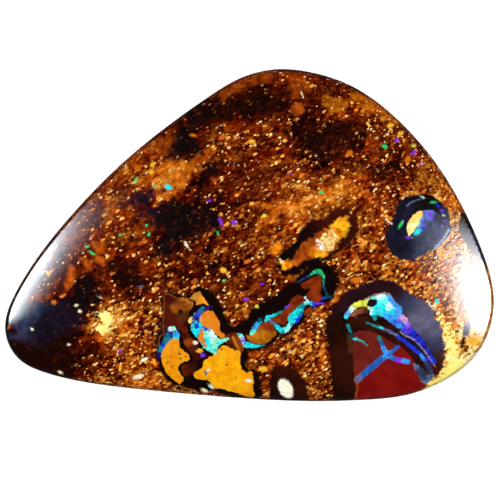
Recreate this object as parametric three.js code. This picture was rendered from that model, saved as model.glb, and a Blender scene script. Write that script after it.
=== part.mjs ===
// A polished freeform cabochon of boulder opal: one solid piece of ironstone with opal in its seams.
// Millimetres, +Z up. The stone lies on its flat back, with its domed face upwards.
// The origin is the middle of the back, +X is towards the broad end and +Y towards the crest.
import * as THREE from "three";
import { LoftGeometry } from "three/addons/geometries/LoftGeometry.js";

// Driving dimensions
const THICKNESS = 6.0; // from the back to the crown of the dome
const WALL_TOP = 1.8; // height at which the dome starts
const WALL_LEAN = 0.3; // how far the wall leans in from its foot to the dome
const BACK_BEVEL = 0.4; // 45-degree bevel round the back
const DOME_SWEEP = THREE.MathUtils.degToRad(65); // share of a quarter ellipse that the dome follows
const CROWN = new THREE.Vector2(1.0, -1.0); // the dome's highest point, seen from above
const CROWN_OVAL = new THREE.Vector2(15, 11.5); // half axes of the oval that the dome flattens towards

// Points on the outline, seen from above, anticlockwise from the broad end
const OUTLINE = [
  [19.6, -5.4],
  [17.85, 0.65],
  [14.0, 7.0],
  [8.6, 11.75],
  [3.2, 13.3],
  [-0.2, 12.8],
  [-3.6, 10.85],
  [-11.0, 5.0],
  [-17.7, -2.9],
  [-19.6, -7.3],
  [-18.6, -9.85],
  [-15.4, -11.3],
  [-4.0, -12.8],
  [7.4, -13.28],
  [13.9, -12.45],
  [18.2, -9.6],
];

// Fineness of the facets
const POINTS_AROUND = 96;
const DOME_RINGS = 18;

// The outline as evenly spaced spokes from the crown
function outlineSpokes() {
  const points = OUTLINE.map(([x, y]) => new THREE.Vector3(x, y, 0));
  const curve = new THREE.CatmullRomCurve3(points, true, "centripetal");
  const spaced = curve.getSpacedPoints(POINTS_AROUND).slice(0, POINTS_AROUND);
  return spaced.map((p) => new THREE.Vector2(p.x, p.y).sub(CROWN));
}

// The crown oval's spoke in the same direction as a spoke of the outline
function ovalSpoke(spoke) {
  const across = new THREE.Vector2(spoke.x / CROWN_OVAL.x, spoke.y / CROWN_OVAL.y);
  return spoke.clone().divideScalar(across.length());
}

// A level ring of points, where each spoke is given by place(spoke)
function ring(spokes, height, place) {
  return spokes.map((spoke) => {
    const at = place(spoke).add(CROWN);
    return new THREE.Vector3(at.x, at.y, height);
  });
}

// A ring that lies inside the outline by the same distance all round
function insetRing(spokes, height, inset) {
  return ring(spokes, height, (spoke) => spoke.clone().setLength(spoke.length() - inset));
}

// A ring of the dome at an angle of its profile, from 0 at the crown to DOME_SWEEP at the wall.
// It runs from the outline at the wall to the oval near the crown.
function domeRing(spokes, angle) {
  const out = Math.sin(angle) / Math.sin(DOME_SWEEP);
  const up = (Math.cos(angle) - Math.cos(DOME_SWEEP)) / (1 - Math.cos(DOME_SWEEP));
  const height = THREE.MathUtils.lerp(WALL_TOP, THICKNESS, up);
  const likeOutline = THREE.MathUtils.smoothstep(out, 0, 1);
  return ring(spokes, height, (spoke) => {
    const atWall = spoke.clone().setLength(spoke.length() - WALL_LEAN);
    return ovalSpoke(spoke).lerp(atWall, likeOutline).multiplyScalar(out);
  });
}

// The stone: back, bevel, wall and dome, skinned from the back upwards
function stoneGeometry() {
  const spokes = outlineSpokes();
  const sections = [
    insetRing(spokes, 0, BACK_BEVEL),
    insetRing(spokes, BACK_BEVEL, 0),
  ];
  for (let step = 0; step < DOME_RINGS; step++) {
    sections.push(domeRing(spokes, DOME_SWEEP * (1 - step / DOME_RINGS)));
  }
  return new LoftGeometry(sections, { capStart: true, capEnd: true });
}

const polishedIronstone = new THREE.MeshStandardMaterial({
  color: 0x6b3510,
  roughness: 0.1,
  metalness: 0,
});

const stone = new THREE.Mesh(stoneGeometry(), polishedIronstone);
stone.name = "boulder_opal";

const boulderOpal = new THREE.Group();
boulderOpal.add(stone);

export default boulderOpal;
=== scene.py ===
from math import cos, pi, radians, sin, tan
from typing import NamedTuple

import bpy
import numpy as np
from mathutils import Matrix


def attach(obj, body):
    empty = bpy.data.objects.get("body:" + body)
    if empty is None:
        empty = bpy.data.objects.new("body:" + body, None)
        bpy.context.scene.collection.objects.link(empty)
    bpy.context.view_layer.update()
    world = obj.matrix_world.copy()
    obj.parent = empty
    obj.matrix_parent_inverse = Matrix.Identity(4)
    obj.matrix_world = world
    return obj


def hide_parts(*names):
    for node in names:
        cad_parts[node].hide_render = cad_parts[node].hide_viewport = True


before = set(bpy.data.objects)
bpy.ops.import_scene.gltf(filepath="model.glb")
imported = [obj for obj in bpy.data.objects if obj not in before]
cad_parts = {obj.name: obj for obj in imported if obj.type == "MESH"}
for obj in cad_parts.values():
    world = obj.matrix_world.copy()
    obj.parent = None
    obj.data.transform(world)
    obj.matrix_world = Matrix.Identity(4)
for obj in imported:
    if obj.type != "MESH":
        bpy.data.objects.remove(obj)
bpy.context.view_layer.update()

# A polished freeform boulder opal. The stone is one piece. Its fine mesh is pressed onto a smooth copy of
# the CAD solid, and carries the distance to the edge of each mineral in attributes that the material reads.

STONE = "boulder_opal"
MM = 0.001

# The photo's pixels on the stone, which is seen from straight above
PHOTO_SIZE = 500
PHOTO_CENTRE = np.array([249.25, 235.0])
PIXEL = 0.08 * MM


# Colours as the photo shows them, in sRGB

# Opal
PALE = (215, 245, 240)
PALE_GREEN = (150, 240, 190)
CYAN = (25, 225, 230)
AQUA = (95, 245, 240)
TEAL = (20, 130, 130)
DEEP_TEAL = (12, 62, 80)
SKY = (60, 150, 240)
AZURE = (34, 92, 178)
BLUE = (25, 50, 215)
INDIGO = (35, 20, 120)
VIOLET = (130, 45, 225)
LILAC = (150, 115, 250)
PINK = (215, 150, 200)
GREEN = (40, 210, 110)
LIME = (220, 222, 70)
SLATE = (95, 105, 140)

# Ironstone and its fillings
INK = (17, 12, 13)
UMBER = (30, 8, 3)
PITCH = (16, 5, 4)
PLUM = (36, 14, 20)
NIGHT = (24, 22, 38)
DUSK = (48, 52, 78)
STEEL = (94, 91, 118)
DENIM = (62, 74, 108)
# painted reflection: a pale blue-grey that stands in for the haze of the right softbox
PAINTED_HAZE_BLUE = (150, 165, 212)
CHOCOLATE = (46, 14, 5)
OXBLOOD = (66, 15, 6)
BARK = (70, 34, 12)
MAROON = (96, 28, 7)
RUSSET = (126, 42, 6)
SIENNA = (140, 58, 6)
TAWNY = (155, 80, 18)
HONEY = (178, 104, 10)
RUST = (150, 62, 6)
COPPER = (182, 80, 8)
ORANGE = (205, 105, 12)
BLOOD = (122, 15, 11)
BRICK = (104, 28, 20)
YELLOW = (250, 172, 9)
MUSTARD = (238, 152, 11)
OLD_GOLD = (200, 128, 36)
TANGERINE = (225, 125, 8)
BUTTER = (250, 205, 90)
FLAME = (250, 165, 20)
GOLD = (245, 180, 50)
PALE_GOLD = (255, 225, 130)
LEMON = (255, 246, 150)
CREAM = (255, 240, 195)
SHELL = (190, 160, 138)
FAWN = (150, 80, 50)
IVORY = (255, 251, 225)
PERIWINKLE = (92, 104, 190)


# Outlines of the minerals, in photo pixels

# Black clouds of manganese in the ironstone
CLOUDS = [
    [(185, 120), (200, 106), (214, 99), (230, 99), (250, 90), (268, 86), (285, 88), (292, 98), (290, 108),
     (280, 113), (262, 117), (240, 119), (220, 121), (205, 124), (190, 128)],
    [(168, 155), (172, 140), (178, 131), (190, 130), (202, 137), (204, 150), (199, 158), (185, 157),
     (175, 160)],
    [(203, 186), (198, 181), (204, 172), (211, 163), (215, 165), (213, 175), (208, 185), (203, 196),
     (196, 199), (193, 192)],
    [(122, 197), (128, 191), (140, 189), (153, 186), (158, 190), (155, 199), (146, 205), (137, 212),
     (128, 206)],
    [(140, 217), (150, 210), (165, 204), (175, 199), (188, 203), (200, 206), (212, 211), (218, 220),
     (213, 231), (200, 237), (188, 240), (176, 247), (168, 258), (160, 256), (160, 245), (166, 236),
     (160, 228), (148, 222)],
    [(112, 264), (122, 260), (133, 264), (141, 272), (143, 283), (134, 290), (124, 287), (115, 280),
     (110, 272)],
    [(72, 290), (80, 278), (92, 275), (102, 281), (101, 292), (97, 303), (98, 314), (88, 320), (80, 330),
     (77, 345), (77, 362), (72, 374), (60, 380), (40, 378), (22, 370), (9, 355), (6, 340), (14, 325),
     (26, 312), (40, 304), (55, 300), (64, 297)],
    [(290, 125), (300, 118), (318, 122), (335, 124), (352, 128), (362, 135), (360, 146), (350, 155),
     (340, 160), (322, 160), (305, 152), (295, 142), (288, 133)],
    [(365, 166), (380, 164), (395, 166), (410, 171), (405, 178), (388, 180), (372, 178)],
]

# Orange stains in the ironstone
STAINS = [
    [(256, 222), (272, 207), (290, 201), (312, 196), (330, 187), (346, 182), (348, 190), (330, 200),
     (312, 206), (292, 212), (272, 221), (258, 229)],
    [(29, 299), (37, 294), (46, 292), (48, 296), (40, 299), (32, 302)],
    [(159, 175), (169, 163), (182, 160), (194, 162), (204, 154), (207, 159), (199, 172), (188, 178),
     (182, 186), (172, 195), (161, 199), (157, 195), (166, 186), (158, 181)],
    [(213, 96), (225, 86), (240, 79), (255, 75), (271, 74), (268, 79), (255, 84), (243, 90), (232, 95),
     (222, 100)],
    [(287, 80), (296, 76), (306, 80), (311, 87), (306, 93), (297, 98), (289, 97), (291, 90)],
    [(321, 93), (335, 97), (349, 103), (343, 110), (330, 113), (325, 105)],
    [(353, 94), (365, 97), (378, 104), (390, 112), (401, 123), (390, 122), (380, 115), (366, 108),
     (355, 103)],
    [(139, 224), (147, 221), (154, 225), (151, 232), (144, 237), (138, 232)],
    [(150, 150), (158, 140), (170, 134), (172, 143), (168, 155), (160, 157)],
]

# Dark ironstone round each nut and seam
RIMS = [
    # the round nut at the lower right
    [(376, 280), (387, 280), (396, 283), (406, 290), (415, 297), (424, 302), (431, 309), (436, 318),
     (440, 327), (443, 340), (444, 354), (443, 367), (438, 374), (424, 384), (410, 392), (390, 400),
     (373, 404), (336, 404), (332, 386), (329, 365), (327, 346), (324, 333), (325, 320), (330, 312),
     (341, 298), (348, 291), (358, 285)],
    # the ochre nut at the lower left and the seam that rises from it
    [(166, 291), (163, 305), (162, 320), (158, 334), (156, 346), (157, 358), (161, 370), (168, 380),
     (177, 387), (190, 391), (207, 391), (225, 394), (246, 401), (259, 401), (261, 390), (260, 378),
     (256, 370), (250, 368), (247, 364), (248, 352), (256, 349), (266, 348), (275, 341), (280, 335),
     (288, 335), (296, 330), (303, 322), (309, 312), (316, 307), (323, 305), (331, 299), (336, 293),
     (338, 282), (335, 271), (326, 264), (314, 262), (305, 268), (297, 277), (285, 287), (273, 296),
     (260, 303), (250, 312), (242, 321), (236, 327), (230, 323), (226, 315), (222, 304), (216, 294),
     (208, 288), (199, 287), (193, 290), (189, 295), (180, 294), (172, 291)],
    # the amber lens
    [(276, 263), (281, 254), (286, 247), (294, 243), (299, 236), (300, 229), (307, 223), (315, 220),
     (324, 217), (331, 211), (340, 208), (348, 210), (354, 215), (358, 222), (357, 231), (352, 238),
     (348, 246), (341, 250), (335, 254), (326, 260), (315, 265), (303, 271), (291, 275), (281, 272)],
    # the cream oval's surround
    [(272, 369), (278, 366), (293, 366), (299, 371), (303, 377), (306, 386), (307, 402), (272, 401),
     (270, 386)],
]

# Black ironstone with a blue cast: the oval nut, and the spot at the right edge
NAVY = [
    [(403, 198), (412, 196), (424, 194), (435, 198), (443, 205), (448, 214), (450, 229), (446, 238),
     (438, 245), (429, 250), (421, 256), (410, 260), (399, 259), (391, 254), (386, 245), (385, 236),
     (388, 226), (393, 216), (397, 206)],
    [(459, 219), (466, 213), (476, 228), (484, 246), (490, 264), (489, 271), (483, 263), (475, 256),
     (468, 249), (462, 239), (458, 230)],
]

# Plain fillings
CELLS = [
    # in the ochre nut
    [(165, 296), (168, 294), (174, 296), (180, 298), (188, 298), (194, 303), (190, 311), (188, 318),
     (184, 324), (180, 329), (173, 326), (168, 329), (164, 333), (164, 318)],
    [(183, 322), (187, 321), (188, 328), (190, 335), (196, 342), (199, 347), (203, 352), (203, 357),
     (198, 360), (193, 361), (193, 355), (187, 348), (184, 342), (182, 333)],
    [(183, 364), (190, 362), (197, 361), (200, 364), (196, 369), (193, 374), (190, 377), (185, 375),
     (182, 370)],
    [(224, 336), (234, 332), (239, 336), (244, 347), (241, 352), (231, 349), (226, 343)],
    # in the seam
    [(246, 334), (252, 335), (259, 326), (267, 320), (272, 324), (276, 333), (270, 340), (265, 343),
     (255, 343), (248, 339)],
    [(270, 319), (279, 314), (286, 307), (289, 304), (292, 298), (297, 295), (304, 297), (303, 302),
     (298, 306), (291, 312), (288, 319), (285, 325), (279, 323), (274, 321)],
    [(300, 284), (308, 280), (313, 277), (319, 275), (321, 283), (320, 292), (321, 298), (314, 303),
     (309, 299), (306, 295), (309, 288), (304, 288)],
    [(304, 310), (311, 306), (310, 310), (304, 315)],
    # in the round nut
    [(346, 332), (350, 336), (352, 343), (353, 355), (351, 366), (348, 360), (347, 345)],
    [(352, 318), (366, 316), (380, 324), (395, 333), (410, 345), (422, 357), (430, 368), (427, 372),
     (418, 362), (405, 350), (392, 342), (378, 334), (362, 328), (350, 325)],
    [(349, 315), (355, 310), (362, 307), (367, 309), (368, 313), (360, 313), (353, 316)],
    # in the oval nut
    [(420, 213), (428, 210), (437, 214), (442, 223), (441, 233), (435, 240), (424, 241), (414, 238),
     (412, 230)],
]

# Red jasper that fills the round nut
JASPER = [
    [(352, 339), (354, 332), (361, 330), (373, 332), (382, 336), (393, 343), (400, 346), (410, 356),
     (415, 363), (418, 371), (421, 379), (426, 386), (410, 394), (390, 401), (373, 404), (357, 404),
     (355, 386), (353, 365)],
]

# A sliver of ochre inside the opal
OCHRE_SLIVER = [
    (200, 333), (201, 329), (203, 327), (204, 333), (205, 339),
    (207, 345), (208, 348), (204, 345), (200, 340), (198, 337),
]

# Yellow ochre
OCHRE = [
    [(179, 338), (180, 345), (184, 350), (189, 354), (190, 359), (184, 361), (180, 364), (179, 369),
     (181, 374), (184, 378), (180, 383), (175, 380), (169, 375), (164, 366), (162, 358), (161, 351),
     (164, 345), (168, 340)],
    [(190, 298), (199, 291), (203, 296), (209, 305), (203, 303), (197, 304), (196, 300)],
    [(200, 317), (203, 313), (207, 310), (213, 311), (217, 317), (220, 323), (220, 329), (225, 335),
     (221, 337), (215, 332), (208, 328), (202, 324)],
    OCHRE_SLIVER,
    [(189, 319), (192, 316), (193, 320), (190, 323)],
    [(220, 347), (225, 345), (231, 348), (237, 350), (241, 351), (240, 361), (242, 368), (246, 372),
     (251, 371), (253, 376), (253, 386), (254, 396), (249, 397), (241, 394), (231, 391), (221, 388),
     (214, 388), (211, 383), (208, 379), (200, 379), (195, 376), (194, 373), (200, 369), (203, 366),
     (204, 361), (209, 357), (214, 354), (217, 351)],
    [(421, 211), (415, 213), (410, 218), (406, 225), (406, 232), (408, 236), (412, 232), (415, 228),
     (418, 222), (421, 217)],
]

# Clear orange chalcedony
AMBER = [
    # small lenses at the left
    [(66, 265), (72, 265), (76, 270), (76, 279), (72, 286), (65, 292), (58, 293), (56, 289), (60, 283),
     (62, 275), (63, 269)],
    [(89, 247), (96, 242), (103, 241), (105, 246), (102, 252), (95, 254), (90, 252)],
    [(80, 259), (86, 258), (93, 262), (92, 270), (84, 269)],
    [(97, 256), (104, 257), (106, 265), (100, 269), (95, 265)],
    # the long lens, and a flame beside it
    [(279, 259), (282, 268), (288, 269), (296, 265), (303, 261), (312, 257), (321, 257), (330, 253),
     (336, 247), (339, 239), (345, 235), (348, 228), (348, 221), (346, 216), (341, 217), (334, 222),
     (328, 227), (321, 231), (314, 236), (308, 239), (302, 244), (298, 249), (295, 256), (289, 260),
     (284, 263)],
    [(268, 251), (272, 245), (278, 244), (282, 247), (279, 252), (273, 255)],
    # a round grain near the crest
    [(291, 108), (296, 104), (302, 105), (304, 110), (302, 115), (296, 116), (291, 113)],
]

# Sugary quartz, in cream grains
SUGAR = [
    [(315, 243), (321, 236), (328, 232), (334, 233), (337, 239), (334, 246), (327, 251), (319, 249)],
]

# Bright gold sand; the band at the right edge is real gold sand lightened in part as painted glare
GOLD_SAND = [
    [(102, 312), (108, 310), (113, 315), (114, 322), (120, 317), (125, 316), (120, 323), (113, 327),
     (112, 334), (108, 339), (104, 335), (99, 331), (97, 327), (102, 323), (100, 317)],
    # the band at the right edge: gold sand, its cream partly a painted glare of the right softbox
    [(428, 304), (436, 309), (444, 320), (451, 333), (456, 345), (460, 356), (470, 358), (476, 352),
     (480, 356), (472, 366), (460, 374), (446, 381), (430, 387), (424, 386), (438, 376), (445, 365),
     (447, 350), (444, 335), (438, 318)],
]

# Opal that fills the seams
OPAL = [
    # the cap of the left crescent
    [(167, 330), (171, 326), (175, 326), (178, 330), (180, 334), (179, 338), (173, 338), (169, 341),
     (166, 345), (163, 350), (161, 357), (158, 357), (159, 348), (161, 344), (164, 339), (166, 333)],
    # between the patches of ochre
    [(213, 306), (204, 306), (199, 309), (194, 315), (192, 321), (191, 327), (194, 333), (199, 338),
     (204, 347), (209, 350), (216, 354), (217, 348), (220, 344), (227, 340), (229, 337), (221, 338),
     (217, 336), (213, 330), (209, 328), (204, 326), (201, 323), (200, 317), (203, 312), (208, 309)],
    # the seam
    [(238, 333), (242, 334), (246, 340), (253, 343), (263, 344), (265, 345), (256, 347), (248, 347),
     (244, 346), (241, 340)],
    [(260, 318), (262, 321), (258, 327), (254, 333), (250, 335), (251, 329), (255, 323)],
    [(264, 319), (267, 315), (273, 314), (280, 310), (286, 306), (289, 304), (288, 306), (280, 313),
     (273, 317), (268, 320), (265, 321)],
    [(268, 319), (272, 320), (277, 324), (283, 327), (286, 326), (288, 322), (288, 316), (291, 312),
     (297, 307), (301, 303), (304, 304), (303, 310), (301, 316), (297, 322), (291, 326), (288, 331),
     (283, 333), (279, 331), (274, 326), (270, 322)],
    [(307, 277), (311, 272), (317, 269), (322, 271), (324, 276), (318, 274), (314, 273), (311, 275)],
    # the arc inside the round nut
    [(343, 317), (345, 312), (348, 308), (354, 302), (362, 300), (368, 298), (372, 296), (380, 294),
     (387, 294), (392, 299), (397, 304), (401, 308), (401, 313), (404, 316), (407, 320), (411, 327),
     (418, 334), (424, 341), (427, 348), (431, 354), (435, 361), (433, 364), (429, 361), (424, 353),
     (418, 344), (411, 339), (404, 334), (399, 329), (393, 325), (387, 320), (382, 317), (376, 316),
     (375, 320), (372, 318), (369, 313), (368, 309), (364, 306), (359, 306), (354, 309), (349, 314),
     (346, 318)],
    # the grey end of the arc
    [(412, 363), (421, 367), (427, 372), (431, 378), (427, 383), (421, 382), (417, 374)],
]
OPAL_HOLES = [
    [(366, 303), (370, 298), (376, 300), (375, 304), (370, 307), (367, 306)],
    OCHRE_SLIVER,
]

# Thin veins of opal: the points of each, then its width at both ends
OPAL_VEINS = [
    ([(357, 379), (366, 371), (375, 363), (386, 354)], 6.5, 6.0),
    ([(386, 354), (382, 346), (378, 337)], 5.0, 3.5),
    ([(386, 354), (392, 350), (397, 346)], 5.0, 3.0),
    ([(386, 354), (393, 358), (400, 360), (407, 361)], 4.5, 5.0),
    ([(347, 325), (350, 332), (351, 337), (357, 339), (363, 342), (367, 346)], 3.0, 1.5),
    ([(366, 322), (373, 325), (382, 328), (392, 333), (400, 338), (408, 344), (416, 351), (423, 358),
      (428, 366), (431, 375)], 1.6, 5.0),
    ([(304, 297), (309, 302), (314, 306)], 2.0, 2.0),
    ([(301, 305), (308, 302), (315, 303), (322, 303)], 3.5, 2.0),
    ([(323, 276), (323, 284), (325, 291), (327, 295), (330, 297)], 1.8, 2.2),
    ([(330, 297), (325, 297), (321, 299)], 2.0, 1.5),
    ([(297, 282), (302, 279), (307, 276)], 1.5, 2.5),
]

# Hairlines, by colour: the points of each, then its width at both ends
HAIRLINES = {
    TAWNY: [
        ([(164, 334), (164, 318), (165, 303), (165, 296), (168, 293), (174, 296), (180, 298),
          (187, 298)], 0.4, 0.6),
        ([(159, 345), (160, 337), (164, 333)], 0.5, 0.5),
        ([(355, 398), (357, 386), (354, 378)], 1.2, 1.0),
        ([(180, 385), (186, 388), (192, 389)], 1.5, 1.0),
        ([(105, 210), (112, 205), (118, 202), (126, 201)], 1.0, 0.8),
    ],
    OLD_GOLD: [
        ([(233, 337), (236, 343), (239, 348)], 2.2, 1.2),
        ([(400, 199), (405, 195), (410, 193), (416, 192)], 1.5, 3.0),
        ([(183, 298), (187, 300), (190, 303)], 1.5, 1.0),
    ],
    SHELL: [
        ([(399, 331), (404, 335), (411, 338), (418, 344), (427, 355), (434, 366)], 0.4, 0.4),
        ([(364, 299), (372, 295), (380, 293), (387, 293), (391, 297)], 0.6, 0.4),
    ],
    CREAM: [
        ([(385.5, 220), (388, 222), (391, 224)], 1.6, 0.8),
        ([(301, 93), (303, 98)], 1.2, 1.0),
    ],
    SLATE: [
        ([(406, 206), (410, 203), (414, 201), (420, 199)], 1.4, 0.8),
    ],
    # painted reflection: a blue-grey crescent on the oval nut's lower right, standing in for the right
    # softbox's haze
    PAINTED_HAZE_BLUE: [
        ([(434, 248), (439, 243), (444, 237), (448, 230)], 2.2, 2.2),
    ],
}


class Spot(NamedTuple):
    """A small oval of one colour, in photo pixels, turned anticlockwise by some degrees."""

    x: float
    y: float
    length: float
    width: float
    turn: float = 0.0


# Flecks of opal and single grains
FLECKS = {
    CYAN: [Spot(169, 187.5, 7, 5, -25), Spot(416.5, 232, 7.5, 5, 35), Spot(436, 301, 5, 3.5, -50)],
    GREEN: [Spot(136.5, 181, 6, 2.5, 70), Spot(155, 187, 3, 2.5), Spot(147.5, 225.5, 2.5, 2.5),
            Spot(149.5, 234.5, 3, 3), Spot(88, 246.5, 3, 2.2), Spot(93, 253, 6, 2.2, -30),
            Spot(218, 233, 4, 2, -60), Spot(384, 147, 5, 4, -20), Spot(399.5, 225, 8, 2.6, 62),
            Spot(432.5, 202.5, 5, 1.8, 8), Spot(121, 235, 3, 2), Spot(224, 280, 3, 2.2),
            Spot(320.5, 193, 5, 3, -20)],
    LIME: [Spot(257, 306, 4, 3, -30), Spot(413, 146, 4, 3), Spot(264, 216, 4, 3, 20)],
    VIOLET: [Spot(221, 222, 8, 2.8, -65), Spot(234, 223, 5, 4), Spot(210, 201, 3.5, 1.6),
             Spot(246, 299, 5, 3, 10), Spot(262, 283.5, 3, 2.2), Spot(203, 354.5, 5, 4),
             Spot(121.5, 350.7, 3, 2.2), Spot(413, 153, 6, 3, 35), Spot(396, 141, 4, 3),
             Spot(406.5, 237.5, 4, 2.6), Spot(429.5, 215.5, 7.5, 3.2, -45), Spot(441, 211, 4, 2, -35),
             Spot(443.5, 221, 2.5, 1.5), Spot(441, 226, 2, 1.5)],
    BLUE: [Spot(422.5, 228, 4.5, 4, 30), Spot(290, 174, 2, 2), Spot(437, 206, 4, 2, -40)],
    INDIGO: [Spot(437, 235, 7, 3.5, 45)],
    SKY: [Spot(421.5, 219, 3.5, 2.8, 50)],
    PALE_GREEN: [Spot(401, 222.5, 3, 1.5, 55), Spot(417.5, 224.5, 4.5, 2.4, 60),
                 Spot(432, 202.2, 2.5, 1.2)],
    PINK: [Spot(421, 164, 3, 2.5), Spot(236, 222, 2.5, 2.5)],
    SLATE: [Spot(142, 286, 4, 2), Spot(206, 372, 5, 2.4, -70), Spot(411, 237.5, 3.5, 2.5)],
    STEEL: [Spot(466, 328, 18, 7, 75)],
    PALE: [Spot(211, 386, 6, 2.4, -45), Spot(249, 380, 6, 3, 5), Spot(208.5, 369.5, 3.5, 1.6, 10),
           Spot(421.5, 197.5, 3.5, 1.5, -30), Spot(443, 216, 2.2, 1.5, -50)],
    IVORY: [Spot(285.5, 388, 21, 13, -62)],
    CREAM: [Spot(195.5, 342, 4.5, 4), Spot(204.5, 390, 6, 3, -20), Spot(402, 198, 4, 1.8, 40),
            Spot(145, 359, 8, 3.5, 25), Spot(139, 376, 11, 4, 15), Spot(77.3, 305, 3.2, 2.4, 20),
            Spot(81, 311, 3.4, 2.6, -30), Spot(70, 344, 3, 2), Spot(33, 329, 3, 2, -40),
            Spot(101, 297, 3, 1.4, -35), Spot(187, 245, 6, 2.5, -60), Spot(61, 372, 4, 2.2, -20),
            Spot(281, 261, 4, 2, -50)],
    GOLD: [Spot(263, 368, 9, 5, -10), Spot(49.5, 273.7, 4, 4), Spot(400, 134, 6, 4.5, 30),
           Spot(390, 126, 7, 4.5, 15), Spot(223.5, 270, 6, 5.5), Spot(121, 367, 2.4, 8, -10),
           Spot(474, 340, 14, 9, 30), Spot(200, 350, 6, 4, 10), Spot(252, 142.5, 5, 4),
           Spot(153, 165, 5.5, 4, 40), Spot(152, 172, 4, 3)],
    ORANGE: [Spot(55, 302, 5.5, 4.5), Spot(407, 160, 7, 5.5, 60), Spot(349, 154, 6, 6),
             Spot(355, 280, 9, 6, 10), Spot(138, 169, 7, 5, -40), Spot(193.5, 136, 6, 3, -20)],
    CHOCOLATE: [Spot(180, 353, 2.4, 1.8), Spot(168.5, 361.5, 2.6, 1.6, 20), Spot(172.5, 366, 1.8, 1.5),
                Spot(222, 348.5, 2.6, 2.6), Spot(181, 358, 1.5, 1.5), Spot(462, 342, 12, 4, 75),
                Spot(181, 311, 6, 5, 20), Spot(456, 331, 4, 3), Spot(465, 350, 5, 3, 30),
                Spot(461.5, 254.5, 4.5, 3), Spot(171, 356, 1.5, 1.2), Spot(186, 356, 1.6, 1.2),
                Spot(227, 364, 2, 1.4, 30), Spot(236, 377, 1.5, 1.2), Spot(247, 371, 2.5, 2)],
}

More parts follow.
